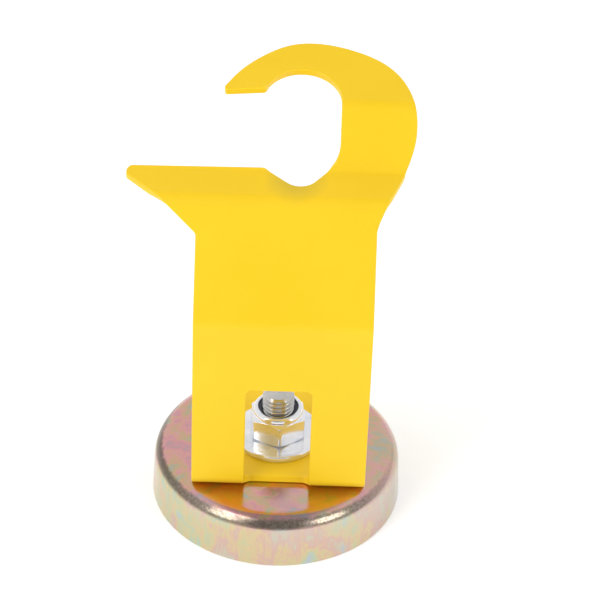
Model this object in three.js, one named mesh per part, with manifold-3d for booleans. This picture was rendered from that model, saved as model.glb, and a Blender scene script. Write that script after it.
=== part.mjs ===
// Magnetic torch rest: a bent sheet-steel hook bracket clamped on a pot magnet.
// Millimetres, +Z up. Origin: centre of the magnet's holding face (Z = 0).
// The bracket's upright faces -Y, the hook opens towards -X.
import * as THREE from 'three';
import { mergeVertices } from 'three/addons/utils/BufferGeometryUtils.js';
import Module from 'manifold-3d';

// ---------------------------------------------------------------- dimensions
const CUP = { rimR: 31.5, topR: 31.05, height: 14.0, fillet: 4.6, wall: 2.5, roof: 3.0, hole: 4.06 };
const MAGNET = { outerR: 27.9, innerR: 12.0, height: 10.9 };
const STUD = { r: 4.0, top: 30.0, chamfer: 0.8, headR: 8.0, headH: 3.3 };
const SHEET = 2.0;                         // bracket sheet with its coating
const FOOT = { back: 19.1, front: -19.1, cornerR: 3.0, holeR: 4.3 };
const PLATE = { left: -21.0, right: 22.05 };
const BASE_GAP = 0.02;                     // working clearance between stacked faces
const FOOT_Z = CUP.height + BASE_GAP;      // underside of the foot
const BEND_R = { foot: 3.65, lean: 5.0, shelf: 5.5, rise: 2.2, hood: 5.5 };   // radius on the front surface
const UPRIGHT_TOP = 65.0;                  // height of the first bend above the holding face
const TILT = { lean: 32.0, shelf: 76.0, rise: 32.0, hood: 74.5 };             // from vertical, leaning back
const PANEL = { lean: 30.15, shelf: 9.94, rise: 15.90, hood: 30.0 };          // between bend lines
const WINDOW = { left: -8.0, right: 8.1, bottom: -1.3, top: 31.4, rTop: 1.6, rBottom: 2.0 };
// outer edge of the hook in the flat pattern [x, s], from the neck over the top to the tip
const HOOK = [
  [22.71, 76.64], [23.84, 79.37], [24.86, 81.85], [25.8, 84.12], [26.7, 86.24], [27.56, 88.26], [28.53, 90.62], [29.41, 92.96],
  [30.15, 95.34], [30.69, 97.78], [30.95, 100.25], [30.95, 102.75], [30.71, 105.23], [30.25, 107.68], [29.59, 110.11], [28.69, 112.47],
  [27.55, 114.73], [26.12, 116.84], [24.41, 118.74], [22.46, 120.38], [20.32, 121.75], [18.07, 122.9], [15.75, 123.85], [13.38, 124.66],
  [10.94, 125.3], [8.44, 125.74], [5.89, 125.92], [3.32, 125.8], [0.79, 125.3], [-1.62, 124.39], [-3.86, 123.15], [-5.96, 121.72],
  [-7.95, 120.17], [-9.8, 118.47], [-11.52, 116.63], [-13.06, 114.64], [-14.1, 113.05],
];
const HOOK_TIP = [[-15.35, 111.2], [-15.15, 109.93]];
const THROAT = { x: 3.4, upper: 107.65, lower: 97.4, r: 9.4 };                 // slot inside the hook
const TONGUE = { tip: -38.05, top: 90.68, rootS: 72.6 };
const WASHER = { r: 11.0, hole: 4.2, z0: FOOT_Z + SHEET + BASE_GAP, thick: 1.6 };
const NUT = { flats: 13.0, z0: WASHER.z0 + WASHER.thick + BASE_GAP, wrench: 6.5, height: 8.0, bore: 4.08, turn: 4.8 };
const INSERT = { outerR: 5.5, innerR: 4.05, thick: 1.3 };

const D2R = Math.PI / 180;
const wasm = await Module();
wasm.setup();

// ---------------------------------------------------------------- helpers
const mat = (color, roughness, metalness) => new THREE.MeshStandardMaterial({ color, roughness, metalness });

function toManifold(geometry) {
  let g = geometry.clone();
  g.deleteAttribute('normal');
  g.deleteAttribute('uv');
  g = mergeVertices(g, 1e-5);
  return new wasm.Manifold(new wasm.Mesh({
    numProp: 3,
    vertProperties: new Float32Array(g.attributes.position.array),
    triVerts: new Uint32Array(g.index.array),
  }));
}

function toGeometry(manifold) {
  const m = manifold.getMesh();
  const pos = new Float32Array(m.numVert * 3);
  for (let i = 0; i < m.numVert; i++) for (let k = 0; k < 3; k++) pos[3 * i + k] = m.vertProperties[i * m.numProp + k];
  const g = new THREE.BufferGeometry();
  g.setAttribute('position', new THREE.BufferAttribute(pos, 3));
  g.setIndex(new THREE.BufferAttribute(new Uint32Array(m.triVerts), 1));
  g.computeVertexNormals();
  return g;
}

// closed section [r, z] turned about the Z axis
function turned(section, segments = 72) {
  const pts = section.map(([r, z]) => new THREE.Vector2(r, z));
  let area = 0;
  for (let i = 0; i < pts.length; i++) {
    const a = pts[i], b = pts[(i + 1) % pts.length];
    area += a.x * b.y - b.x * a.y;
  }
  if (area < 0) pts.reverse();
  const onAxis = pts.some((p) => p.x < 1e-9);
  if (onAxis) {
    // start and end on the axis
    while (!(pts[0].x < 1e-9 && pts[pts.length - 1].x < 1e-9)) pts.push(pts.shift());
  } else {
    pts.push(pts[0].clone());
  }
  const g = new THREE.LatheGeometry(pts, segments);
  g.rotateX(Math.PI / 2);
  g.deleteAttribute('normal');
  g.deleteAttribute('uv');
  const merged = mergeVertices(g, 1e-5);
  // drop the collapsed triangles on the axis and make the faces point out
  const idx = merged.index.array, p = merged.attributes.position.array, keep = [];
  let vol = 0;
  for (let i = 0; i < idx.length; i += 3) {
    const [a, b, c] = [idx[i], idx[i + 1], idx[i + 2]];
    if (a === b || b === c || a === c) continue;
    keep.push(a, b, c);
    vol += p[3 * a] * (p[3 * b + 1] * p[3 * c + 2] - p[3 * b + 2] * p[3 * c + 1])
         - p[3 * a + 1] * (p[3 * b] * p[3 * c + 2] - p[3 * b + 2] * p[3 * c])
         + p[3 * a + 2] * (p[3 * b] * p[3 * c + 1] - p[3 * b + 1] * p[3 * c]);
  }
  if (vol < 0) for (let i = 0; i < keep.length; i += 3) [keep[i + 1], keep[i + 2]] = [keep[i + 2], keep[i + 1]];
  merged.setIndex(keep);
  merged.computeVertexNormals();
  return merged;
}

function arc(cx, cy, r, fromDeg, toDeg, n) {
  const out = [];
  for (let i = 0; i <= n; i++) {
    const a = (fromDeg + (toDeg - fromDeg) * i / n) * D2R;
    out.push([cx + r * Math.cos(a), cy + r * Math.sin(a)]);
  }
  return out;
}

// rounds the corner at b between the straight lines a-b and b-c
// smooth curve through the points, n stretches between neighbours
function spline(q, n) {
  const out = [];
  for (let i = 0; i < q.length - 1; i++) {
    const a = q[Math.max(i - 1, 0)], b = q[i], c = q[i + 1], d = q[Math.min(i + 2, q.length - 1)];
    for (let j = 0; j < n; j++) {
      const t = j / n;
      out.push([0, 1].map((k) => 0.5 * (2 * b[k] + (c[k] - a[k]) * t + (2 * a[k] - 5 * b[k] + 4 * c[k] - d[k]) * t * t + (3 * b[k] - a[k] - 3 * c[k] + d[k]) * t * t * t)));
    }
  }
  out.push(q[q.length - 1]);
  return out;
}

function fillet(a, b, c, r, n = 4) {
  const ua = [a[0] - b[0], a[1] - b[1]], uc = [c[0] - b[0], c[1] - b[1]];
  const la = Math.hypot(...ua), lc = Math.hypot(...uc);
  ua[0] /= la; ua[1] /= la; uc[0] /= lc; uc[1] /= lc;
  const half = Math.acos(Math.max(-1, Math.min(1, ua[0] * uc[0] + ua[1] * uc[1]))) / 2;
  const d = r / Math.tan(half);
  const bis = [ua[0] + uc[0], ua[1] + uc[1]];
  const lb = Math.hypot(...bis);
  const o = [b[0] + bis[0] / lb * r / Math.sin(half), b[1] + bis[1] / lb * r / Math.sin(half)];
  const p = [b[0] + ua[0] * d, b[1] + ua[1] * d], q = [b[0] + uc[0] * d, b[1] + uc[1] * d];
  const a0 = Math.atan2(p[1] - o[1], p[0] - o[0]);
  let da = Math.atan2(q[1] - o[1], q[0] - o[0]) - a0;
  while (da > Math.PI) da -= 2 * Math.PI;
  while (da < -Math.PI) da += 2 * Math.PI;
  const out = [];
  for (let i = 0; i <= n; i++) out.push([o[0] + r * Math.cos(a0 + da * i / n), o[1] + r * Math.sin(a0 + da * i / n)]);
  return out;
}

// ---------------------------------------------------------------- bent profile of the bracket
// The front surface is followed from the back end of the foot's underside, round the
// foot bend and up the front. s = 0 is where the upright's front plane meets the underside.
function bentProfile() {
  const seg = [];
  const quarter = BEND_R.foot * Math.PI / 2;
  let y = FOOT.back, z = FOOT_Z, dir = Math.PI;                // dir: angle in the YZ plane, pi = towards -Y
  let s = BEND_R.foot - quarter - (FOOT.back - FOOT.front - BEND_R.foot);
  const line = (len) => {
    seg.push({ s0: s, s1: s + len, y, z, dir, k: 0 });
    y += len * Math.cos(dir); z += len * Math.sin(dir); s += len;
  };
  const bend = (radius, turnDeg, facets) => {                  // turn < 0 bends clockwise in YZ (leaning back)
    const k = Math.sign(turnDeg) / radius, len = radius * Math.abs(turnDeg) * D2R;
    seg.push({ s0: s, s1: s + len, y, z, dir, k, facets });
    const d1 = dir + turnDeg * D2R;
    y += (Math.sin(d1) - Math.sin(dir)) / k; z += (-Math.cos(d1) + Math.cos(dir)) / k;
    dir = d1; s += len;
  };
  const cut = (radius, turnDeg) => radius * Math.tan(Math.abs(turnDeg) * D2R / 2);
  const t1 = TILT.lean, t2 = TILT.shelf - TILT.lean, t3 = TILT.shelf - TILT.rise, t4 = TILT.hood - TILT.rise;
  line(FOOT.back - FOOT.front - BEND_R.foot);
  bend(BEND_R.foot, -90, 9);
  line(UPRIGHT_TOP - FOOT_Z - BEND_R.foot - cut(BEND_R.lean, t1));
  bend(BEND_R.lean, -t1, 5);
  line(PANEL.lean - cut(BEND_R.lean, t1) - cut(BEND_R.shelf, t2));
  bend(BEND_R.shelf, -t2, 6);
  line(PANEL.shelf - cut(BEND_R.shelf, t2) - cut(BEND_R.rise, t3));
  bend(BEND_R.rise, t3, 6);
  line(PANEL.rise - cut(BEND_R.rise, t3) - cut(BEND_R.hood, t4));
  bend(BEND_R.hood, -t4, 6);
  line(PANEL.hood);
  return seg;
}
const PROFILE = bentProfile();
const S_BACK = PROFILE[0].s0;

// point at arc length s, at depth n behind the front surface
function onProfile(s, n) {
  let g = PROFILE.find((q) => s <= q.s1 + 1e-9) ?? PROFILE[PROFILE.length - 1];
  if (s < PROFILE[0].s0) g = PROFILE[0];
  const u = s - g.s0;
  let y, z, dir;
  if (g.k === 0) {
    dir = g.dir; y = g.y + u * Math.cos(dir); z = g.z + u * Math.sin(dir);
  } else {
    dir = g.dir + g.k * u;
    y = g.y + (Math.sin(dir) - Math.sin(g.dir)) / g.k;
    z = g.z + (-Math.cos(dir) + Math.cos(g.dir)) / g.k;
  }
  return [y + n * Math.sin(dir), z - n * Math.cos(dir)];
}

// ---------------------------------------------------------------- flat pattern of the bracket, as [x, s]
function flatOutline() {
  const p = [];
  const push = (pts) => pts.forEach((q) => p.push(q));
  const bl = [PLATE.left, S_BACK], br = [PLATE.right, S_BACK];
  const rightKink = [PLATE.right, 74.5], leftKink = [PLATE.left, TONGUE.rootS];
  const [tipTop, tip] = HOOK_TIP, lipEnd = [-5.4, 110.87];
  push(fillet(leftKink, bl, br, FOOT.cornerR, 5));
  push(fillet(bl, br, rightKink, FOOT.cornerR, 5));
  push(fillet(br, rightKink, HOOK[0], 4.0, 3));
  push(spline(HOOK, 2));
  push(fillet(HOOK[HOOK.length - 1], tipTop, tip, 1.0, 3));
  push(fillet(tipTop, tip, lipEnd, 0.6, 4));
  const a1 = Math.atan2(lipEnd[1] - THROAT.upper, lipEnd[0] - THROAT.x) / D2R;
  const up = [THROAT.x + THROAT.r * Math.cos((a1 - 10) * D2R), THROAT.upper + THROAT.r * Math.sin((a1 - 10) * D2R)];
  push(fillet(tip, lipEnd, up, 1.0, 3));
  push(arc(THROAT.x, THROAT.upper, THROAT.r, a1 - 10, 0, 16));
  push(arc(THROAT.x, THROAT.lower, THROAT.r, 0, -42, 6));
  const side = [THROAT.x + THROAT.r * Math.cos(-42 * D2R), THROAT.lower + THROAT.r * Math.sin(-42 * D2R)];
  const vee = [3.95, 83.94], shoulder = [-5.1, 91.05];
  push(fillet(side, vee, shoulder, 4.9, 8));
  const tTop = [TONGUE.tip, TONGUE.top - 0.03], tLow = [TONGUE.tip, 88.0], tMid = [-29.2, 80.35];
  push(fillet(vee, shoulder, tTop, 2.2, 4));
  push(fillet(shoulder, tTop, tLow, 1.6, 4));
  push(fillet([TONGUE.tip, 89.6], tLow, tMid, 0.7, 3));
  push(fillet(tLow, tMid, leftKink, 12.0, 2));
  push(fillet(tMid, leftKink, bl, 1.6, 3));
  // drop repeated points
  return p.filter((q, i) => { const o = p[(i + p.length - 1) % p.length]; return Math.hypot(q[0] - o[0], q[1] - o[1]) > 0.02; });
}

function windowOutline() {
  const { left: l, right: r, bottom: b, top: t, rTop, rBottom } = WINDOW;
  return [
    ...fillet([l, t], [l, b], [r, b], rBottom, 4), ...fillet([l, b], [r, b], [r, t], rBottom, 4),
    ...fillet([r, b], [r, t], [l, t], rTop, 4), ...fillet([r, t], [l, t], [l, b], rTop, 4),
  ];
}

// divides the sheet (outer loop counter-clockwise, holes clockwise) into strips along the
// lines s = cuts[k] and fills each strip with triangles; neighbours share their points
function fillStrips(loops, cuts) {
  const V = [], edges = [], onCut = cuts.map(() => []);
  for (const loop of loops) {
    const ids = [];
    loop.forEach((a, i) => {
      const b = loop[(i + 1) % loop.length];
      V.push([a[0], a[1]]); ids.push(V.length - 1);
      const hit = [];
      cuts.forEach((c, k) => { if ((a[1] - c) * (b[1] - c) < 0) hit.push([(c - a[1]) / (b[1] - a[1]), k]); });
      hit.sort((p, q) => p[0] - q[0]).forEach(([u, k]) => {
        V.push([a[0] + u * (b[0] - a[0]), cuts[k]]); ids.push(V.length - 1); onCut[k].push(V.length - 1);
      });
    });
    ids.forEach((a, i) => edges.push([a, ids[(i + 1) % ids.length]]));
  }
  onCut.forEach((list) => list.sort((i, j) => V[i][0] - V[j][0]));
  const tris = [];
  for (let k = 0; k <= cuts.length; k++) {
    const lo = k === 0 ? -Infinity : cuts[k - 1], hi = k === cuts.length ? Infinity : cuts[k];
    const next = new Map();
    for (const [a, b] of edges) { const m = (V[a][1] + V[b][1]) / 2; if (m > lo && m < hi) next.set(a, b); }
    if (k > 0) for (let i = 0; i + 1 < onCut[k - 1].length; i += 2) next.set(onCut[k - 1][i], onCut[k - 1][i + 1]);
    if (k < cuts.length) for (let i = 0; i + 1 < onCut[k].length; i += 2) next.set(onCut[k][i + 1], onCut[k][i]);
    const rings = [], used = new Set();
    for (const start of next.keys()) {
      if (used.has(start)) continue;
      const ring = [];
      for (let v = start; !used.has(v); v = next.get(v)) { used.add(v); ring.push(v); }
      rings.push({ ring, pts: ring.map((i) => new THREE.Vector2(V[i][0], V[i][1])) });
    }
    const outers = rings.filter((r) => THREE.ShapeUtils.area(r.pts) > 0), holes = rings.filter((r) => THREE.ShapeUtils.area(r.pts) < 0);
    outers.forEach((o, n) => {
      const own = n === 0 ? holes : [];                        // only the foot strip has a hole, and it is one ring
      const all = [...o.ring, ...own.flatMap((h) => h.ring)];
      for (const t of THREE.ShapeUtils.triangulateShape(o.pts, own.map((h) => h.pts))) tris.push(t.map((i) => all[i]));
    });
  }
  return { V, tris };
}

function bracketGeometry() {
  const outer = flatOutline();
  const win = windowOutline().reverse();
  const holeS = BEND_R.foot * (1 - Math.PI / 2) + (FOOT.front + BEND_R.foot);
  const hole = arc(0, holeS, FOOT.holeR, 0, 350, 35).reverse();
  const cuts = [];
  for (const g of PROFILE) if (g.k !== 0) for (let i = 0; i <= g.facets; i++) cuts.push(g.s0 + (g.s1 - g.s0) * i / g.facets);
  const ccw = (loop, want) => {
    const area = THREE.ShapeUtils.area(loop.map(([x, s]) => new THREE.Vector2(x, s)));
    return (area > 0) === want ? loop : loop.slice().reverse();
  };
  const { V, tris } = fillStrips([ccw(outer, true), ccw(win, false), ccw(hole, false)], cuts);
  // front and back skins joined by the cut edge
  const n = V.length, pos = new Float32Array(n * 6), index = [], edges = new Map();
  V.forEach(([x, s], i) => {
    const [yf, zf] = onProfile(s, 0), [yb, zb] = onProfile(s, SHEET);
    pos.set([x, yf, zf], 3 * i);
    pos.set([x, yb, zb], 3 * (i + n));
  });
  for (const [a, b, c] of tris) {
    index.push(a, b, c, a + n, c + n, b + n);
    for (const [i, j] of [[a, b], [b, c], [c, a]]) edges.set(i + '_' + j, [i, j]);
  }
  for (const [i, j] of edges.values()) if (!edges.has(j + '_' + i)) index.push(j, i, i + n, j, i + n, j + n);
  const g = new THREE.BufferGeometry();
  g.setAttribute('position', new THREE.BufferAttribute(pos, 3));
  g.setIndex(index);
  g.computeVertexNormals();
  return g;
}

// ---------------------------------------------------------------- turned and milled pieces
function cupGeometry() {
  const h = CUP.height, inner = CUP.rimR - CUP.wall, roofZ = h - CUP.roof;
  return turned([
    [inner, 0], [CUP.rimR - 0.3, 0], [CUP.rimR, 0.3],
    ...arc(CUP.topR - CUP.fillet, h - CUP.fillet, CUP.fillet, 0, 90, 7),
    [CUP.hole, h], [CUP.hole, roofZ],
    ...arc(inner - 2.1, roofZ - 2.0, 2.0, 90, 0, 3),
    [inner - 0.1, 6.0],
  ], 96);
}

function magnetGeometry() {
  const { outerR: R, innerR: r, height: h } = MAGNET;
  return turned([[r, 0.4], [r + 0.4, 0], [R - 0.5, 0], [R, 0.5], [R, h - 2.4], [R - 2.2, h], [r, h]], 72);
}

function resinRingGeometry() {
  const R = CUP.rimR - CUP.wall - 0.15, r = MAGNET.outerR + 0.05;
  return turned([[r, 0.25], [R, 0.25], [R, 8.0], [r, 8.0]], 72);
}

function resinPlugGeometry() {
  const R = MAGNET.innerR - 0.05, top = CUP.height - CUP.roof - 0.1, headBottom = CUP.height - CUP.roof - STUD.headH - 0.05;
  return turned([[0, 0], [R - 0.3, 0], [R, 0.3], [R, top], [STUD.headR + 0.05, top], [STUD.headR + 0.05, headBottom - 0.05], [0, headBottom - 0.05]], 48);
}

function studGeometry() {
  const under = CUP.height - CUP.roof - 0.05, c = STUD.chamfer;
  return turned([
    [0, under - STUD.headH], [STUD.headR - 0.6, under - STUD.headH], [STUD.headR, under - STUD.headH + 0.6], [STUD.headR, under],
    [STUD.r, under], [STUD.r, STUD.top - c], [STUD.r - c, STUD.top], [0, STUD.top],
  ], 48);
}

function washerGeometry() {
  const { r, hole, z0, thick: t } = WASHER;
  return turned([[hole, z0], [r - 0.2, z0], [r, z0 + 0.2], ...arc(r - 0.55, z0 + t - 0.55, 0.55, 0, 90, 3), [hole + 0.25, z0 + t], [hole, z0 + t - 0.25]], 72);
}

function nutGeometry() {
  const { flats, z0, wrench, height, bore, turn } = NUT, R = flats / Math.sqrt(3);
  const hex = new THREE.Shape();
  for (let i = 0; i < 6; i++) {
    const a = (-90 + turn + 60 * i) * D2R;
    if (i === 0) hex.moveTo(R * Math.cos(a), R * Math.sin(a)); else hex.lineTo(R * Math.cos(a), R * Math.sin(a));
  }
  hex.closePath();
  const prism = new THREE.ExtrudeGeometry(hex, { depth: wrench, bevelEnabled: false });
  prism.translate(0, 0, z0);
  const flatR = 0.485 * flats, out = R + 0.3, rise = (out - flatR) * Math.tan(30 * D2R), over = Math.tan(30 * D2R);
  const chamfers = turned([
    [0, z0 - over], [flatR - 1, z0 - over], [out, z0 + rise], [out, z0 + wrench - rise], [flatR - 1, z0 + wrench + over], [0, z0 + wrench + over],
  ], 72);
  const top = z0 + height, seat = top - 0.6 - INSERT.thick - 0.05;
  const collar = turned([[0, z0 + wrench - 1.2], [6.25, z0 + wrench - 1.2], [6.25, top - 0.9], ...arc(5.35, top - 0.9, 0.9, 15, 90, 4), [0, top]], 60);
  const insertSeat = turned([[0, seat], [INSERT.outerR + 0.05, seat], [INSERT.outerR + 0.05, top - 0.6], [5.05, top - 0.45], [5.05, top + 1], [0, top + 1]], 60);
  const through = turned([[0, z0 - 1], [bore + 1.6, z0 - 1], [bore, z0 + 0.6], [bore, seat + 0.5], [0, seat + 0.5]], 60);
  const body = toManifold(prism).intersect(toManifold(chamfers)).add(toManifold(collar)).subtract(toManifold(insertSeat)).subtract(toManifold(through));
  return toGeometry(body);
}

function insertGeometry() {
  const top = NUT.z0 + NUT.height - 0.62;
  return turned([[INSERT.innerR, top - INSERT.thick], [INSERT.outerR, top - INSERT.thick], [INSERT.outerR, top], [INSERT.innerR + 0.3, top], [INSERT.innerR, top - 0.3]], 48);
}

// ---------------------------------------------------------------- assembly
const mesh = (name, geometry, material) => { const m = new THREE.Mesh(geometry, material); m.name = name; return m; };

const base = new THREE.Group();
base.name = 'magnet_base';
base.add(mesh('magnet_cup', cupGeometry(), mat(0xcdb482, 0.32, 0.95)));
base.add(mesh('ferrite_ring', magnetGeometry(), mat(0x35363a, 0.7, 0.1)));
base.add(mesh('resin_ring', resinRingGeometry(), mat(0x1b1b1d, 0.45, 0.0)));
base.add(mesh('resin_plug', resinPlugGeometry(), mat(0x1b1b1d, 0.45, 0.0)));
base.add(mesh('threaded_stud', studGeometry(), mat(0xc9cbd0, 0.25, 1.0)));

const bracket = new THREE.Group();
bracket.name = 'bracket';
bracket.add(mesh('hook_bracket', bracketGeometry(), mat(0xffd81a, 0.35, 0.0)));

const fastening = new THREE.Group();
fastening.name = 'fastening';
fastening.add(mesh('flat_washer', washerGeometry(), mat(0xd3d5da, 0.22, 1.0)));
fastening.add(mesh('lock_nut', nutGeometry(), mat(0xcfd1d6, 0.22, 1.0)));
fastening.add(mesh('nylon_insert', insertGeometry(), mat(0x16181c, 0.55, 0.0)));

const group = new THREE.Group();
group.name = 'torch_rest';
group.add(base, bracket, fastening);

export default group;
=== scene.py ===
import bpy
import math
import numpy as np
from mathutils import Matrix, Vector
from mathutils.geometry import delaunay_2d_cdt


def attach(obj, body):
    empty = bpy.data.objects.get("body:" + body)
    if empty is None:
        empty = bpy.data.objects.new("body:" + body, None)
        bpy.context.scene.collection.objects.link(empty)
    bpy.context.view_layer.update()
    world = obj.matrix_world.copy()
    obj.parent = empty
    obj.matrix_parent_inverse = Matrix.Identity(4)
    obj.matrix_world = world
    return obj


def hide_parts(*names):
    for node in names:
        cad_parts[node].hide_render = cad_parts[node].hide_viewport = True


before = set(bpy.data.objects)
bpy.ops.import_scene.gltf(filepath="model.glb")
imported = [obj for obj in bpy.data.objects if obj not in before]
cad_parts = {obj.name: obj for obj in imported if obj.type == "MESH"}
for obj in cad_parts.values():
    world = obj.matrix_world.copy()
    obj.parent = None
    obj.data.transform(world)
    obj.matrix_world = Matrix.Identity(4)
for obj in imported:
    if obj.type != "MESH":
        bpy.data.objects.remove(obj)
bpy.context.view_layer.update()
MM = 0.001
D2R = math.pi / 180
scene = bpy.context.scene

# ------------------------------------------------------------------ sizes, in millimetres
CUP = dict(rim=31.5, top=31.05, height=14.0, fillet=4.6, wall=2.5, roof=3.0, hole=4.06)
STUD = dict(r=3.985, top=30.0, head=8.0, head_h=3.3, pitch=1.25, depth=0.68)
SHEET = 2.0
FOOT_BACK, FOOT_FRONT, FOOT_Z, HOLE_R = 19.1, -19.1, 14.02, 4.3
BEND_R = dict(foot=3.65, lean=5.0, shelf=5.5, rise=2.2, hood=5.5)
TILT = dict(lean=32.0, shelf=76.0, rise=32.0, hood=74.5)
PANEL = dict(lean=30.15, shelf=9.94, rise=15.90, hood=30.0)
UPRIGHT_TOP = 65.0
HOOK = [
    (22.71, 76.64), (23.84, 79.37), (24.86, 81.85), (25.8, 84.12), (26.7, 86.24), (27.56, 88.26), (28.53, 90.62), (29.41, 92.96),
    (30.15, 95.34), (30.69, 97.78), (30.95, 100.25), (30.95, 102.75), (30.71, 105.23), (30.25, 107.68), (29.59, 110.11), (28.69, 112.47),
    (27.55, 114.73), (26.12, 116.84), (24.41, 118.74), (22.46, 120.38), (20.32, 121.75), (18.07, 122.9), (15.75, 123.85), (13.38, 124.66),
    (10.94, 125.3), (8.44, 125.74), (5.89, 125.92), (3.32, 125.8), (0.79, 125.3), (-1.62, 124.39), (-3.86, 123.15), (-5.96, 121.72),
    (-7.95, 120.17), (-9.8, 118.47), (-11.52, 116.63), (-13.06, 114.64), (-14.1, 113.05),
]
HOOK_TIP = [(-15.35, 111.2), (-15.15, 109.93)]
THROAT = dict(x=3.4, upper=107.65, lower=97.4, r=9.4)
EDGE_R = 0.32                                   # rounding of the coated cut edge
NUT = dict(flats=13.0, wrench=6.5, height=8.0, bore=4.08, turn=4.8)


# ------------------------------------------------------------------ mesh helpers
def add_object(name, verts, faces, normals=None, sharp_deg=None):
    me = bpy.data.meshes.new(name)
    me.from_pydata([tuple(v) for v in np.asarray(verts) * MM], [], faces)
    me.update()
    me.polygons.foreach_set("use_smooth", [True] * len(me.polygons))
    ob = bpy.data.objects.new(name, me)
    scene.collection.objects.link(ob)
    if normals is not None:
        me.normals_split_custom_set_from_vertices([tuple(n) for n in normals])
    if sharp_deg is not None:
        me.set_sharp_from_angle(angle=sharp_deg * D2R)
        mod = ob.modifiers.new("weighted", "WEIGHTED_NORMAL")
        mod.keep_sharp = True
        mod.weight = 60
    return ob


def arc(cx, cy, r, a0, a1, n):
    return [(cx + r * math.cos((a0 + (a1 - a0) * i / n) * D2R), cy + r * math.sin((a0 + (a1 - a0) * i / n) * D2R)) for i in range(n + 1)]


def turned(name, rows, segments, radius=None, start=0.0, closed=True, sharp_deg=32):
    """rows of (r, z) turned about Z. radius(theta, r, z) may change r round the circle. A row with r = 0 is one point."""
    th = start + np.arange(segments) * 2 * math.pi / segments
    verts, ids = [], []
    for r, z in rows:
        if r < 1e-9:
            ids.append([len(verts)])
            verts.append((0, 0, z))
            continue
        rr = np.full(segments, float(r)) if radius is None else radius(th, float(r), float(z))
        ids.append(list(range(len(verts), len(verts) + segments)))
        verts += [(a * math.cos(t), a * math.sin(t), z) for a, t in zip(rr, th)]
    pairs = list(zip(ids[:-1], ids[1:])) + ([(ids[-1], ids[0])] if closed else [])
    faces = []
    for a, b in pairs:
        for j in range(segments):
            k = (j + 1) % segments
            if len(a) == 1 and len(b) == 1:
                continue
            if len(a) == 1:
                faces.append((a[0], b[k], b[j]))
            elif len(b) == 1:
                faces.append((a[j], a[k], b[0]))
            else:
                faces.append((a[j], a[k], b[k], b[j]))
    return add_object(name, verts, faces, sharp_deg=sharp_deg)


# ------------------------------------------------------------------ the bent sheet
def fillet(a, b, c, r, n):
    ua, uc = np.subtract(a, b), np.subtract(c, b)
    ua, uc = ua / np.hypot(*ua), uc / np.hypot(*uc)
    half = math.acos(max(-1, min(1, float(ua @ uc)))) / 2
    bis = (ua + uc) / np.hypot(*(ua + uc))
    o = np.array(b) + bis * r / math.sin(half)
    p, q = np.array(b) + ua * r / math.tan(half), np.array(b) + uc * r / math.tan(half)
    a0 = math.atan2(p[1] - o[1], p[0] - o[0])
    da = (math.atan2(q[1] - o[1], q[0] - o[0]) - a0 + math.pi) % (2 * math.pi) - math.pi
    return [(o[0] + r * math.cos(a0 + da * i / n), o[1] + r * math.sin(a0 + da * i / n)) for i in range(n + 1)]


def spline(q, n):
    q, out = np.array(q, float), []
    for i in range(len(q) - 1):
        a, b, c, d = q[max(i - 1, 0)], q[i], q[i + 1], q[min(i + 2, len(q) - 1)]
        for t in np.arange(n) / n:
            out.append(tuple(0.5 * (2 * b + (c - a) * t + (2 * a - 5 * b + 4 * c - d) * t * t + (3 * b - a - 3 * c + d) * t ** 3)))
    return out + [tuple(q[-1])]


def bent_profile():
    seg, y, z, d = [], FOOT_BACK, FOOT_Z, math.pi
    quarter = BEND_R["foot"] * math.pi / 2
    s = BEND_R["foot"] - quarter - (FOOT_BACK - FOOT_FRONT - BEND_R["foot"])

    def line(length):
        nonlocal y, z, s
        seg.append((s, s + length, y, z, d, 0.0))
        y, z, s = y + length * math.cos(d), z + length * math.sin(d), s + length

    def bend(radius, turn):
        nonlocal y, z, s, d
        k, length, d1 = math.copysign(1, turn) / radius, radius * abs(turn) * D2R, d + turn * D2R
        seg.append((s, s + length, y, z, d, k))
        y, z, s, d = y + (math.sin(d1) - math.sin(d)) / k, z + (math.cos(d) - math.cos(d1)) / k, s + length, d1

    def cut(radius, turn):
        return radius * math.tan(abs(turn) * D2R / 2)

    t1, t2, t3, t4 = TILT["lean"], TILT["shelf"] - TILT["lean"], TILT["shelf"] - TILT["rise"], TILT["hood"] - TILT["rise"]
    line(FOOT_BACK - FOOT_FRONT - BEND_R["foot"])
    bend(BEND_R["foot"], -90)
    line(UPRIGHT_TOP - FOOT_Z - BEND_R["foot"] - cut(BEND_R["lean"], t1))
    bend(BEND_R["lean"], -t1)
    line(PANEL["lean"] - cut(BEND_R["lean"], t1) - cut(BEND_R["shelf"], t2))
    bend(BEND_R["shelf"], -t2)
    line(PANEL["shelf"] - cut(BEND_R["shelf"], t2) - cut(BEND_R["rise"], t3))
    bend(BEND_R["rise"], t3)
    line(PANEL["rise"] - cut(BEND_R["rise"], t3) - cut(BEND_R["hood"], t4))
    bend(BEND_R["hood"], -t4)
    line(PANEL["hood"])
    return seg


PROFILE = bent_profile()


def on_profile(s):
    """front-surface y, z and the sheet's direction at flat-pattern heights s"""
    s = np.asarray(s, float)
    y, z, d = np.zeros_like(s), np.zeros_like(s), np.zeros_like(s)
    for i, (s0, s1, y0, z0, d0, k) in enumerate(PROFILE):
        m = (s <= s1 + 1e-9) & (s > s0 - (1e9 if i == 0 else -1e-9)) if i < len(PROFILE) - 1 else s > s0 + 1e-9
        u = s[m] - s0
        if k == 0:
            y[m], z[m], d[m] = y0 + u * math.cos(d0), z0 + u * math.sin(d0), d0
        else:
            a = d0 + k * u
            y[m], z[m], d[m] = y0 + (np.sin(a) - math.sin(d0)) / k, z0 + (math.cos(d0) - np.cos(a)) / k, a
    return y, z, d


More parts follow.
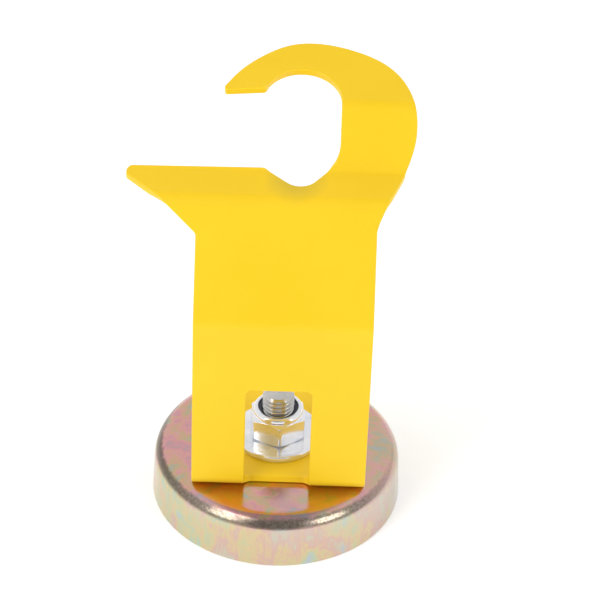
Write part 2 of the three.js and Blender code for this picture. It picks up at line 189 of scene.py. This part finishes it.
def flat_outline():
    left, right, s_back = -21.0, 22.05, PROFILE[0][0]
    bl, br, rk, lk = (left, s_back), (right, s_back), (right, 74.5), (left, 72.6)
    tip_top, tip, lip = HOOK_TIP[0], HOOK_TIP[1], (-5.4, 110.87)
    p = fillet(lk, bl, br, 3.0, 12) + fillet(bl, br, rk, 3.0, 12) + fillet(br, rk, HOOK[0], 4.0, 8)
    p += spline(HOOK, 5)
    p += fillet(HOOK[-1], tip_top, tip, 1.0, 6) + fillet(tip_top, tip, lip, 0.6, 8)
    tx, tu, tlow, tr = THROAT["x"], THROAT["upper"], THROAT["lower"], THROAT["r"]
    a1 = math.atan2(lip[1] - tu, lip[0] - tx) / D2R
    up = (tx + tr * math.cos((a1 - 10) * D2R), tu + tr * math.sin((a1 - 10) * D2R))
    p += fillet(tip, lip, up, 1.0, 6) + arc(tx, tu, tr, a1 - 10, 0, 44) + arc(tx, tlow, tr, 0, -42, 16)
    side = (tx + tr * math.cos(-42 * D2R), tlow + tr * math.sin(-42 * D2R))
    vee, shoulder = (3.95, 83.94), (-5.1, 91.05)
    p += fillet(side, vee, shoulder, 4.9, 18)
    t_top, t_low, t_mid = (-38.05, 90.65), (-38.05, 88.0), (-29.2, 80.35)
    p += fillet(vee, shoulder, t_top, 2.2, 8) + fillet(shoulder, t_top, t_low, 1.6, 9)
    p += fillet((-38.05, 89.6), t_low, t_mid, 0.7, 6) + fillet(t_low, t_mid, lk, 12.0, 6) + fillet(t_mid, lk, bl, 1.6, 6)
    return p


def window_outline():
    l, r, b, t = -8.0, 8.1, -1.3, 31.4
    return fillet((l, t), (l, b), (r, b), 2.0, 10) + fillet((l, b), (r, b), (r, t), 2.0, 10) + fillet((r, b), (r, t), (l, t), 1.6, 10) + fillet((r, t), (l, t), (l, b), 1.6, 10)


def even(loop, step, ccw):
    """closed loop without repeated points, no stretch longer than step, in the asked direction"""
    p = np.array(loop, float)
    area = np.sum(p[:, 0] * np.roll(p[:, 1], -1) - np.roll(p[:, 0], -1) * p[:, 1])
    if (area > 0) != ccw:
        p = p[::-1]
    p = p[np.hypot(*(p - np.roll(p, 1, 0)).T) > 0.02]
    out = []
    for a, b in zip(p, np.roll(p, -1, 0)):
        n = max(1, math.ceil(math.hypot(*(b - a)) / step))
        out += [a + (b - a) * i / n for i in range(n)]
    return np.array(out)


def outward(p):
    """unit normal of each corner, pointing out of the material, and the stretch that keeps an offset parallel"""
    e = np.roll(p, -1, 0) - p
    n = np.c_[e[:, 1], -e[:, 0]] / np.hypot(*e.T)[:, None]
    m = n + np.roll(n, 1, 0)
    m /= np.hypot(*m.T)[:, None]
    return m, 1 / np.clip(np.sum(m * n, 1), 0.8, 1)


def inside(loops, q):
    hit = np.zeros(len(q), bool)
    for p in loops:
        for a, b in zip(p, np.roll(p, -1, 0)):
            c = (a[1] > q[:, 1]) != (b[1] > q[:, 1])
            if c.any():
                x = a[0] + (b[0] - a[0]) * (q[c, 1] - a[1]) / (b[1] - a[1])
                hit[c] ^= q[c, 0] < x
    return hit


def bracket():
    hole_s = BEND_R["foot"] * (1 - math.pi / 2) + FOOT_FRONT + BEND_R["foot"]
    loops = [even(flat_outline(), 0.7, True), even(window_outline(), 0.7, False), even(arc(0, hole_s, HOLE_R, 0, 355, 71), 0.7, False)]
    rim = [(EDGE_R * (1 - math.sin(a)), EDGE_R * (1 - math.cos(a)), a) for a in np.linspace(0, math.pi / 2, 5)]
    steps = rim + [(i, SHEET - n, math.pi - a) for i, n, a in reversed(rim)]
    V, N, F, skins = [], [], [], []
    for p in loops:
        out, stretch = outward(p)
        base = len(V)
        for inset, depth, a in steps:
            q = p - out * (inset * stretch)[:, None]
            y, z, d = on_profile(q[:, 1])
            for i in range(len(q)):
                sd, cd = math.sin(d[i]), math.cos(d[i])
                V.append((q[i, 0], y[i] + depth * sd, z[i] - depth * cd))
                side = np.array([out[i, 0], out[i, 1] * cd, out[i, 1] * sd])
                N.append(math.cos(a) * np.array([0, -sd, cd]) + math.sin(a) * side)
        n = len(p)
        for k in range(len(steps) - 1):
            for i in range(n):
                j = (i + 1) % n
                F.append((base + k * n + j, base + k * n + i, base + (k + 1) * n + i, base + (k + 1) * n + j))
        skins.append((p - out * (EDGE_R * stretch)[:, None], base, base + (len(steps) - 1) * n))
    # points between the edges: wide steps on the flats, fine ones round each bend
    rows = []
    for s0, s1, _, _, _, k in PROFILE:
        rows += list(np.linspace(s0, s1, max(2, math.ceil((s1 - s0) / (0.45 if k else 2.4)) + 1)))
    rows = [r for i, r in enumerate(rows) if i == 0 or r - rows[i - 1] > 1e-6]
    grid = np.array([(x, s) for s in rows for x in np.arange(-37.0, 31.5, 1.6)])
    edge = [s[0] for s in skins]
    grid = grid[inside(edge, grid)]
    every = np.concatenate(edge)
    near = np.array([np.min(np.sum((every - g) ** 2, 1)) for g in grid])
    grid = grid[near > 0.42 ** 2]
    pts = [tuple(q) for q in every] + [tuple(g) for g in grid]
    edges, start = [], 0
    for q in edge:
        edges += [(start + i, start + (i + 1) % len(q)) for i in range(len(q))]
        start += len(q)
    co, _, tri, ov, _, _ = delaunay_2d_cdt([Vector(q) for q in pts], edges, [], 0, 1e-7)
    co = np.array([tuple(c) for c in co])
    front, back = {}, {}
    first, where = 0, []
    for q, f, b in skins:
        where += [(f + i, b + i) for i in range(len(q))]
    for i, orig in enumerate(ov):
        known = [o for o in orig if o < len(where)]
        if known:
            front[i], back[i] = where[known[0]]
            continue
        y, z, d = (v[0] for v in on_profile(np.array([co[i, 1]])))
        sd, cd = math.sin(d), math.cos(d)
        front[i], back[i] = len(V), len(V) + 1
        V += [(co[i, 0], y, z), (co[i, 0], y + SHEET * sd, z - SHEET * cd)]
        N += [np.array([0, -sd, cd]), np.array([0, sd, -cd])]
    mids = np.array([co[list(t)].mean(0) for t in tri])
    keep = inside(edge, mids)
    for t, ok in zip(tri, keep):
        if ok:
            a, b, c = t
            ccw = (co[b][0] - co[a][0]) * (co[c][1] - co[a][1]) - (co[c][0] - co[a][0]) * (co[b][1] - co[a][1])
            if ccw < 0:
                b, c = c, b
            F += [(front[a], front[b], front[c]), (back[a], back[c], back[b])]
    used = sorted({i for f in F for i in f})
    new = {o: i for i, o in enumerate(used)}
    return add_object("coated_bracket", [V[i] for i in used], [tuple(new[i] for i in f) for f in F], normals=[N[i] for i in used])


# ------------------------------------------------------------------ turned pieces
def cup():
    h, inner, roof = CUP["height"], CUP["rim"] - CUP["wall"], CUP["height"] - CUP["roof"]
    rows = [(inner, 0.12), (inner + 0.12, 0.0), (inner + 0.6, 0.0), (CUP["rim"] - 0.4, 0.0)] + arc(CUP["rim"] - 0.3, 0.3, 0.3, -70, 0, 4)
    rows += [(CUP["rim"] - 0.45 * (z - 0.3) / 9.1, z) for z in np.linspace(0.9, 8.9, 6)]
    rows += arc(CUP["top"] - CUP["fillet"], h - CUP["fillet"], CUP["fillet"], 0, 90, 22)
    rows += [(r, h) for r in (25.2, 22.0, 17.0, 12.0, 7.0, 4.6)] + [(CUP["hole"] + 0.12, h), (CUP["hole"], h - 0.12)]
    rows += [(CUP["hole"], roof)] + arc(inner - 2.1, roof - 2.0, 2.0, 90, 0, 6) + [(inner - 0.1, 6.0)]
    return turned("plated_cup", rows, 192)


def stud():
    R, P, top, dep = STUD["r"], STUD["pitch"], STUD["top"], STUD["depth"]
    under = CUP["height"] - CUP["roof"] - 0.05
    head = under - STUD["head_h"]

    def thread(th, r, z):
        if r > 4.5 or z < under + 0.2:
            return np.full(len(th), min(r, 8.0))
        t = (z / P - th / (2 * math.pi)) % 1.0
        d = np.minimum(t, 1 - t) * P
        cut = np.clip((d - P / 14) * 1.732, 0, dep)
        cut = cut * cut * (3 - 2 * cut / dep) / dep * 0.5 + cut * 0.5
        return np.minimum(R - cut, R - 0.78 + (top - z) * 1.05) if r > 3.0 else np.full(len(th), r)

    rows = [(0, head), (6.0, head), (7.4, head), (8.0, head + 0.6), (8.0, under), (4.2, under)]
    rows += [(4.0, z) for z in np.arange(under + 0.05, top - 0.02, P / 16)] + [(4.0, top - 0.06)]
    rows += [(2.98, top - 0.02), (2.6, top - 0.015), (1.6, top - 0.03), (0.7, top - 0.06), (0, top - 0.07)]
    return turned("rolled_thread_stud", rows, 80, radius=thread, closed=False, sharp_deg=60)


def washer():
    r, hole, z0, t = 11.0, 4.2, 16.04, 1.6
    rows = [(hole, z0 + 0.1), (hole + 0.1, z0), (r - 0.3, z0)] + arc(r - 0.22, z0 + 0.22, 0.22, -80, 0, 4)
    rows += arc(r - 0.5, z0 + t - 0.5, 0.5, 0, 90, 7) + [(9.6, z0 + t), (8.2, z0 + t), (6.5, z0 + t), (hole + 0.25, z0 + t), (hole + 0.07, z0 + t - 0.07), (hole, z0 + t - 0.25)]
    return turned("zinc_washer", rows, 144)


def smooth_min(a, b, k):
    h = np.clip(0.5 + 0.5 * (b - a) / k, 0, 1)
    return b * (1 - h) + a * h - k * h * (1 - h)


def nut():
    a, z0 = NUT["flats"] / 2, 17.66
    R = NUT["flats"] / math.sqrt(3)
    flat_r, top_hex, top = 0.485 * NUT["flats"], z0 + NUT["wrench"], z0 + NUT["height"]
    slope = math.tan(30 * D2R)

    def hexagon(th, r, z):
        if r < flat_r - 0.02:
            return np.full(len(th), r)
        local = (th - (-90 + NUT["turn"] + 30) * D2R + math.pi / 6) % (math.pi / 3) - math.pi / 6
        h = smooth_min(a / np.cos(local), np.full(len(th), R - 0.10), 0.10)
        return smooth_min(h, np.full(len(th), r), 0.12)

    seat, lip = top - 0.6 - 1.3 - 0.05, top - 0.6
    rows = [(NUT["bore"], seat), (NUT["bore"], z0 + 0.6), (NUT["bore"] + 0.55, z0 + 0.02), (NUT["bore"] + 0.7, z0), (flat_r - 0.25, z0), (flat_r - 0.06, z0 + 0.01)]
    out = R + 0.5
    rise = (out - flat_r) * slope
    rows += [(flat_r + (out - flat_r) * f, z0 + rise * f) for f in np.linspace(0, 1, 18)]
    rows += [(out, z) for z in np.linspace(z0 + rise + 0.25, top_hex - rise - 0.25, 12)]
    rows += [(flat_r + (out - flat_r) * f, top_hex - rise * f) for f in np.linspace(1, 0, 18)]
    rows += [(flat_r - 0.03, top_hex + 0.01), (6.262, top_hex + 0.05), (6.25, top_hex + 0.12), (6.25, top_hex + 0.3)]
    rows += arc(5.35, top - 0.9, 0.9, 15, 104, 12) + arc(5.22, top - 0.18, 0.16, 130, 200, 4)
    rows += [(5.06, lip + 0.12), (5.2, lip), (5.55, lip - 0.02), (5.55, seat)]
    return turned("hex_lock_nut", rows, 192, radius=hexagon, start=(-90 + NUT["turn"]) * D2R, sharp_deg=40)


def insert():
    top = 17.66 + NUT["height"] - 0.62
    rows = [(4.05, top - 1.3), (5.5, top - 1.3), (5.5, top - 0.04), (5.46, top)] + [(r, top) for r in (5.1, 4.8, 4.6)]
    rows += arc(4.4, top - 0.32, 0.34, 70, 172, 8)
    return turned("nylon_locking_ring", rows, 96)


# ------------------------------------------------------------------ materials
class Nodes:
    def __init__(self, name):
        self.material = bpy.data.materials.new(name)
        self.material.use_nodes = True
        self.tree = self.material.node_tree
        self.tree.nodes.clear()
        self.out = self.add("ShaderNodeOutputMaterial")
        self.shader = self.add("ShaderNodeBsdfPrincipled")
        self.link(self.shader.outputs[0], self.out.inputs[0])
        self.coords = self.add("ShaderNodeTexCoord").outputs["Object"]

    def add(self, kind):
        return self.tree.nodes.new(kind)

    def link(self, a, b):
        self.tree.links.new(a, b)

    def put(self, socket, value):
        if hasattr(value, "is_output"):
            self.link(value, socket)
        else:
            socket.default_value = value

    def scaled(self, sx, sy, sz):
        n = self.add("ShaderNodeMapping")
        n.inputs["Scale"].default_value = (sx, sy, sz)
        self.link(self.coords, n.inputs["Vector"])
        return n.outputs[0]

    def noise(self, scale, detail=3.0, rough=0.5, vector=None, distortion=0.0):
        n = self.add("ShaderNodeTexNoise")
        n.inputs["Scale"].default_value = scale
        n.inputs["Detail"].default_value = detail
        n.inputs["Roughness"].default_value = rough
        n.inputs["Distortion"].default_value = distortion
        self.link(vector or self.coords, n.inputs["Vector"])
        return n.outputs["Fac"]

    def ramp(self, fac, stops, mode="LINEAR"):
        n = self.add("ShaderNodeValToRGB")
        n.color_ramp.interpolation = mode
        e = n.color_ramp.elements
        while len(e) < len(stops):
            e.new(0.5)
        for el, (pos, col) in zip(e, stops):
            el.position = pos
            el.color = (*col, 1) if hasattr(col, "__len__") else (col, col, col, 1)
        self.link(fac, n.inputs[0])
        return n.outputs[0]

    def mix(self, fac, a, b, blend="MIX"):
        n = self.add("ShaderNodeMix")
        n.data_type, n.blend_type = "RGBA", blend
        self.put(n.inputs[0], fac)
        for socket, value in ((n.inputs[6], a), (n.inputs[7], b)):
            self.put(socket, value if hasattr(value, "is_output") else (*value, 1))
        return n.outputs[2]

    def math(self, op, a, b=0.0, clamp=False):
        n = self.add("ShaderNodeMath")
        n.operation, n.use_clamp = op, clamp
        self.put(n.inputs[0], a)
        self.put(n.inputs[1], b)
        return n.outputs[0]

    def span(self, value, a, b, c, d):
        n = self.add("ShaderNodeMapRange")
        self.put(n.inputs[0], value)
        for i, v in enumerate((a, b, c, d)):
            n.inputs[i + 1].default_value = v
        return n.outputs[0]

    def xyz(self):
        n = self.add("ShaderNodeSeparateXYZ")
        self.link(self.coords, n.inputs[0])
        return n.outputs

    def radius(self):
        x, y, _ = self.xyz()
        return self.math("SQRT", self.math("ADD", self.math("MULTIPLY", x, x), self.math("MULTIPLY", y, y)))

    def bump(self, height, strength, distance, normal=None):
        n = self.add("ShaderNodeBump")
        n.inputs["Strength"].default_value = strength
        n.inputs["Distance"].default_value = distance
        self.link(height, n.inputs["Height"])
        if normal is not None:
            self.link(normal, n.inputs["Normal"])
        return n.outputs[0]

    def finish(self, color, roughness, normal, metallic=0.0, **constants):
        s = self.shader
        self.put(s.inputs["Base Color"], color if hasattr(color, "is_output") else (*color, 1))
        self.put(s.inputs["Roughness"], roughness)
        s.inputs["Metallic"].default_value = metallic
        if normal is not None:
            self.link(normal, s.inputs["Normal"])
        for k, v in constants.items():
            s.inputs[k].default_value = v
        return self.material


def yellow_coat():
    m = Nodes("yellow_powder_coat")
    broad = m.noise(38, 3, 0.55)
    base = m.mix(m.span(broad, 0.3, 0.7, 0, 1), (0.81, 0.530, 0.007), (0.85, 0.562, 0.010))
    fine = m.noise(1500, 2, 0.5)
    base = m.mix(m.span(fine, 0.35, 0.75, 0.0, 0.10), base, (0.77, 0.475, 0.006))
    # a few dark specks baked into the coat
    speck = m.add("ShaderNodeTexVoronoi")
    speck.inputs["Scale"].default_value = 78
    m.link(m.coords, speck.inputs["Vector"])
    rare = m.math("GREATER_THAN", m.noise(61, 1, 0.5), 0.665)
    dot = m.math("MULTIPLY", m.math("LESS_THAN", speck.outputs["Distance"], 0.045), rare)
    base = m.mix(dot, base, (0.16, 0.12, 0.05))
    # convex cut edges and the outer sides of the bends are mixed towards a paler yellow
    geo = m.add("ShaderNodeNewGeometry")
    edge = m.math("MULTIPLY", m.span(geo.outputs["Pointiness"], 0.52, 0.60, 0, 1), m.span(m.noise(420, 3, 0.6), 0.3, 0.7, 0.35, 1.0))
    base = m.mix(m.math("MULTIPLY", edge, 0.35), base, (0.90, 0.66, 0.07))
    # painted shade: the coat is darkened round the bottom of the notch, standing in for the soft shade that falls
    # there
    py, pz, _ = (float(v[0]) for v in on_profile(np.array([THROAT["lower"] - THROAT["r"]])))
    notch_shade_distance = m.add("ShaderNodeVectorMath")
    notch_shade_distance.operation = "DISTANCE"
    m.link(m.coords, notch_shade_distance.inputs[0])
    notch_shade_distance.inputs[1].default_value = ((THROAT["x"] - 1.0) * MM, py * MM, pz * MM)
    near = m.math("ADD", notch_shade_distance.outputs["Value"], m.math("MULTIPLY", m.math("SUBTRACT", m.noise(300, 3, 0.6), 0.5), 0.002))
    base = m.mix(m.span(near, 0.0012, 0.0080, 0.85, 0.0), base, (0.54, 0.39, 0.035))
    rough = m.span(m.math("ADD", m.math("MULTIPLY", broad, 0.6), m.math("MULTIPLY", fine, 0.4)), 0.3, 0.7, 0.36, 0.46)
    normal = m.bump(m.noise(620, 2, 0.45), 0.22, 0.00004)
    normal = m.bump(m.noise(2400, 2, 0.5), 0.10, 0.00001, normal)
    return m.finish(base, rough, normal, 0.0, **{"Coat Weight": 0.08, "Coat Roughness": 0.3, "Specular IOR Level": 0.28})


def plated_steel():
    m = Nodes("yellow_zinc_plate")
    x, y, z = m.xyz()
    # patches of passivation colour, drawn into upright streaks on the wall
    streak = m.noise(1.0, 6, 0.66, m.scaled(210, 210, 48), 0.5)
    patch = m.noise(1.0, 6, 0.66, m.scaled(95, 95, 75), 0.6)
    tone = m.math("ADD", m.math("MULTIPLY", streak, 0.45), m.math("MULTIPLY", patch, 0.55))
    top = m.ramp(tone, [(0.36, (0.42, 0.44, 0.50)), (0.42, (0.47, 0.45, 0.31)), (0.46, (0.62, 0.42, 0.25)), (0.50, (0.70, 0.38, 0.33)),
                        (0.55, (0.68, 0.33, 0.36)), (0.60, (0.52, 0.36, 0.36)), (0.66, (0.40, 0.40, 0.50))])
    wall = m.ramp(tone, [(0.36, (0.46, 0.50, 0.58)), (0.42, (0.46, 0.54, 0.43)), (0.46, (0.56, 0.53, 0.33)), (0.50, (0.63, 0.51, 0.31)),
                         (0.55, (0.61, 0.42, 0.38)), (0.60, (0.56, 0.52, 0.40)), (0.66, (0.46, 0.49, 0.58))])
    film = m.mix(m.span(z, 0.0105, 0.0125, 0, 1), wall, top)
    grey = m.span(m.noise(1.0, 3, 0.6, m.scaled(48, 48, 48), 0.4), 0.48, 0.68, 0, 0.45)
    film = m.mix(grey, film, m.mix(m.span(z, 0.0105, 0.0125, 0, 1), (0.54, 0.54, 0.51), (0.52, 0.46, 0.44)))
    fleck = m.span(m.noise(900, 4, 0.7), 0.56, 0.74, 0, 0.35)
    film = m.mix(fleck, film, (0.50, 0.50, 0.52))
    # painted reflection: the corner fillet is painted as a dark band with grain, standing in for the dark
    # surroundings it reflects, least so towards the back right
    r = m.radius()
    ragged = m.math("MULTIPLY", m.math("SUBTRACT", m.noise(700, 3, 0.6), 0.5), 0.0012)
    inner = m.span(m.math("ADD", r, ragged), 0.0288, 0.0295, 0, 1)
    outer = m.span(m.math("ADD", z, m.math("MULTIPLY", ragged, 0.5)), 0.0109, 0.0117, 0, 1)
    reflection_fade = m.span(m.math("ADD", m.math("MULTIPLY", x, 0.85), m.math("MULTIPLY", y, 0.55)), 0.004, 0.021, 1.0, 0.22)
    dark_reflection_band = m.math("MULTIPLY", m.math("MULTIPLY", inner, outer), reflection_fade)
    grain = m.noise(1700, 4, 0.7)
    painted_dark_reflection = m.mix(m.span(grain, 0.36, 0.68, 0, 1), (0.13, 0.11, 0.075), (0.34, 0.305, 0.25))
    # painted reflection: darker still towards the left side
    painted_dark_reflection = m.mix(m.span(x, -0.030, -0.021, 0.75, 0), painted_dark_reflection, (0.085, 0.075, 0.055))
    film = m.mix(m.math("MULTIPLY", dark_reflection_band, 0.88), film, painted_dark_reflection)
    rough = m.math("ADD", m.span(m.noise(160, 4, 0.6), 0.3, 0.7, 0.13, 0.24), m.math("MULTIPLY", dark_reflection_band, 0.02))
    normal = m.bump(m.noise(1.0, 3, 0.5, m.scaled(260, 260, 40)), 0.16, 0.00005)
    normal = m.bump(m.noise(1500, 3, 0.6), 0.10, 0.00002, normal)
    normal = m.bump(m.math("MULTIPLY", dark_reflection_band, grain), 0.16, 0.00003, normal)
    return m.finish(film, rough, normal, 1.0)


def bright_zinc(name, turned_marks, roughness, dull, bright):
    m = Nodes(name)
    tint = m.mix(m.span(m.noise(260, 3, 0.5), 0.3, 0.7, 0, 1), dull, bright)
    stain = m.span(m.noise(900, 4, 0.65), 0.58, 0.78, 0, 0.35)
    tint = m.mix(stain, tint, (0.40, 0.41, 0.44))
    rough = m.span(m.noise(700, 3, 0.6), 0.3, 0.7, roughness * 0.8, roughness * 1.4)
    normal = m.bump(m.noise(1300, 3, 0.55), 0.12, 0.00002)
    if turned_marks:
        n = m.add("ShaderNodeTexNoise")
        n.inputs["Scale"].default_value = 1.0
        n.inputs["Detail"].default_value = 2.0
        comb = m.add("ShaderNodeCombineXYZ")
        m.link(m.math("MULTIPLY", m.radius(), 5200), comb.inputs[0])
        m.link(m.math("MULTIPLY", m.xyz()[2], 2600), comb.inputs[1])
        m.link(comb.outputs[0], n.inputs["Vector"])
        normal = m.bump(n.outputs["Fac"], 0.10, 0.00002, normal)
    return m.finish(tint, rough, normal, 0.80)


def dark_nylon():
    m = Nodes("dark_nylon_ring")
    base = m.mix(m.span(m.noise(900, 3, 0.5), 0.3, 0.7, 0, 1), (0.018, 0.026, 0.050), (0.035, 0.045, 0.075))
    return m.finish(base, m.span(m.noise(1500, 2, 0.5), 0.3, 0.7, 0.30, 0.46), m.bump(m.noise(2200, 2, 0.5), 0.15, 0.00002))


def ferrite():
    m = Nodes("sintered_ferrite")
    grain = m.noise(2600, 4, 0.7)
    base = m.mix(m.span(grain, 0.35, 0.7, 0, 1), (0.030, 0.030, 0.033), (0.075, 0.074, 0.076))
    lines = m.noise(1.0, 2, 0.5, m.scaled(2800, 90, 90))
    base = m.mix(m.span(lines, 0.45, 0.7, 0, 0.4), base, (0.12, 0.12, 0.125))
    normal = m.bump(lines, 0.2, 0.00003, m.bump(grain, 0.35, 0.00004))
    return m.finish(base, m.span(m.noise(500, 3, 0.6), 0.3, 0.7, 0.50, 0.72), normal)


def resin():
    m = Nodes("potting_resin")
    base = m.mix(m.span(m.noise(120, 3, 0.5), 0.35, 0.65, 0, 1), (0.012, 0.012, 0.014), (0.03, 0.028, 0.03))
    normal = m.bump(m.noise(1400, 2, 0.5), 0.08, 0.00001, m.bump(m.noise(210, 2, 0.5), 0.30, 0.0002))
    return m.finish(base, m.span(m.noise(300, 3, 0.5), 0.3, 0.7, 0.18, 0.34), normal)


def studio_floor():
    m = Nodes("studio_floor")
    base = m.mix(m.span(m.noise(6, 3, 0.5), 0.3, 0.7, 0, 1), (0.93, 0.93, 0.93), (0.95, 0.95, 0.95))
    m.shader.inputs["Emission Color"].default_value = (1, 1, 1, 1)
    return m.finish(base, 0.75, m.bump(m.noise(400, 2, 0.5), 0.02, 0.00005), **{"Specular IOR Level": 0.1, "Emission Strength": 0.22})


def wear(ob, material):
    ob.data.materials.clear()
    ob.data.materials.append(material)


def dress(node, material):
    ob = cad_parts[node]
    for slot in ob.material_slots:
        slot.material = material
    if not ob.material_slots:
        ob.data.materials.append(material)


YELLOW, PLATE = yellow_coat(), plated_steel()
ZINC = bright_zinc("bright_zinc", True, 0.14, (0.76, 0.79, 0.86), (0.90, 0.91, 0.94))
THREAD = bright_zinc("bright_zinc_thread", False, 0.20, (0.50, 0.50, 0.50), (0.62, 0.61, 0.59))
pieces = [
    (bracket(), "bracket", "hook_bracket", "yellow_coat", YELLOW),
    (cup(), "magnet_base", "magnet_cup", "plated_cup", PLATE),
    (stud(), "magnet_base", "threaded_stud", "zinc_steel", THREAD),
    (washer(), "washer", "flat_washer", "zinc_steel", ZINC),
    (nut(), "nut", "lock_nut", "zinc_steel", ZINC),
    (insert(), "insert", "nylon_insert", "dark_nylon", dark_nylon()),
]
for ob, body, node, slot, material in pieces:
    wear(ob, material)
    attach(ob, body)
    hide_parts(node)
RESIN = resin()
dress("ferrite_ring", ferrite())
dress("resin_ring", RESIN)
dress("resin_plug", RESIN)

# ------------------------------------------------------------------ studio
me = bpy.data.meshes.new("studio_floor")
me.from_pydata([(-4, -4, -0.00005), (4, -4, -0.00005), (4, 4, -0.00005), (-4, 4, -0.00005)], [], [(0, 1, 2, 3)])
floor = bpy.data.objects.new("studio_floor", me)
scene.collection.objects.link(floor)
floor.data.materials.append(studio_floor())

world = bpy.data.worlds.new("studio")
scene.world = world
world.use_nodes = True
wt = world.node_tree
wt.nodes.clear()
def w_node(kind, op=None, **values):
    n = wt.nodes.new(kind)
    if op:
        n.operation = op
    for i, v in values.items():
        i = int(i[1:])
        if hasattr(v, "is_output"):
            wt.links.new(v, n.inputs[i])
        else:
            n.inputs[i].default_value = v
    return n.outputs[0]


def w_step(value, lo, hi):
    n = wt.nodes.new("ShaderNodeMapRange")
    n.interpolation_type = "SMOOTHSTEP"
    wt.links.new(value, n.inputs[0])
    n.inputs[1].default_value, n.inputs[2].default_value = lo, hi
    return n.outputs[0]


w_out, w_bg = wt.nodes.new("ShaderNodeOutputWorld"), wt.nodes.new("ShaderNodeBackground")
w_sep = wt.nodes.new("ShaderNodeSeparateXYZ")
wt.links.new(wt.nodes.new("ShaderNodeTexCoord").outputs["Generated"], w_sep.inputs[0])
wx, wy, wz = w_sep.outputs
narrow = w_node("ShaderNodeMath", "SUBTRACT", _0=1.0, _1=w_step(w_node("ShaderNodeMath", "ABSOLUTE", _0=wx), 0.26, 0.50))
front = w_node("ShaderNodeMath", "SUBTRACT", _0=1.0, _1=w_step(wy, 0.18, 0.42))
high = w_step(wz, 0.02, 0.08)
flag = w_node("ShaderNodeMath", "MULTIPLY", _0=w_node("ShaderNodeMath", "MULTIPLY", _0=narrow, _1=front), _1=high)
level = w_node("ShaderNodeMath", "SUBTRACT", _0=1.0, _1=w_node("ShaderNodeMath", "MULTIPLY", _0=flag, _1=0.52))
wt.links.new(level, w_bg.inputs["Color"])
wt.links.new(w_bg.outputs[0], w_out.inputs[0])
w_bg.inputs["Strength"].default_value = 0.89


def softbox(name, at, aim, width, height, power):
    light = bpy.data.lights.new(name, "AREA")
    light.shape, light.size, light.size_y, light.energy = "RECTANGLE", width, height, power
    ob = bpy.data.objects.new(name, light)
    scene.collection.objects.link(ob)
    ob.location = at
    ob.rotation_euler = (Vector(aim) - Vector(at)).to_track_quat("-Z", "Y").to_euler()


softbox("key", (-0.86, -0.78, 1.02), (0, 0, 0.05), 0.62, 1.15, 9.2)
softbox("fill", (0.95, -0.8, 0.7), (0, 0, 0.05), 0.6, 0.6, 4.6)
scene.view_settings.view_transform = "Standard"
scene.view_settings.look = "None"

# ------------------------------------------------------------------ camera
EL, AZ, ROLL = 37.025 * D2R, 0.563 * D2R, 2.195 * D2R
back = Vector((-math.sin(AZ) * math.cos(EL), -math.cos(AZ) * math.cos(EL), math.sin(EL)))
place = Vector((4.421, 0, 59.024)) * MM + back * (669.55 * MM)
right = (-back).cross(Vector((0, 0, 1))).normalized()
up = right.cross(-back)
r2 = math.cos(ROLL) * right + math.sin(ROLL) * up
u2 = -math.sin(ROLL) * right + math.cos(ROLL) * up
cam = bpy.data.cameras.new("camera")
cam.sensor_width, cam.lens = 36.0, 2743.0 / 600 * 36.0
cam.clip_start, cam.clip_end = 0.01, 50
camera = bpy.data.objects.new("camera", cam)
scene.collection.objects.link(camera)
camera.matrix_world = Matrix(((r2.x, u2.x, back.x, place.x), (r2.y, u2.y, back.y, place.y), (r2.z, u2.z, back.z, place.z), (0, 0, 0, 1)))
scene.camera = camera

bpy.context.view_layer.update()
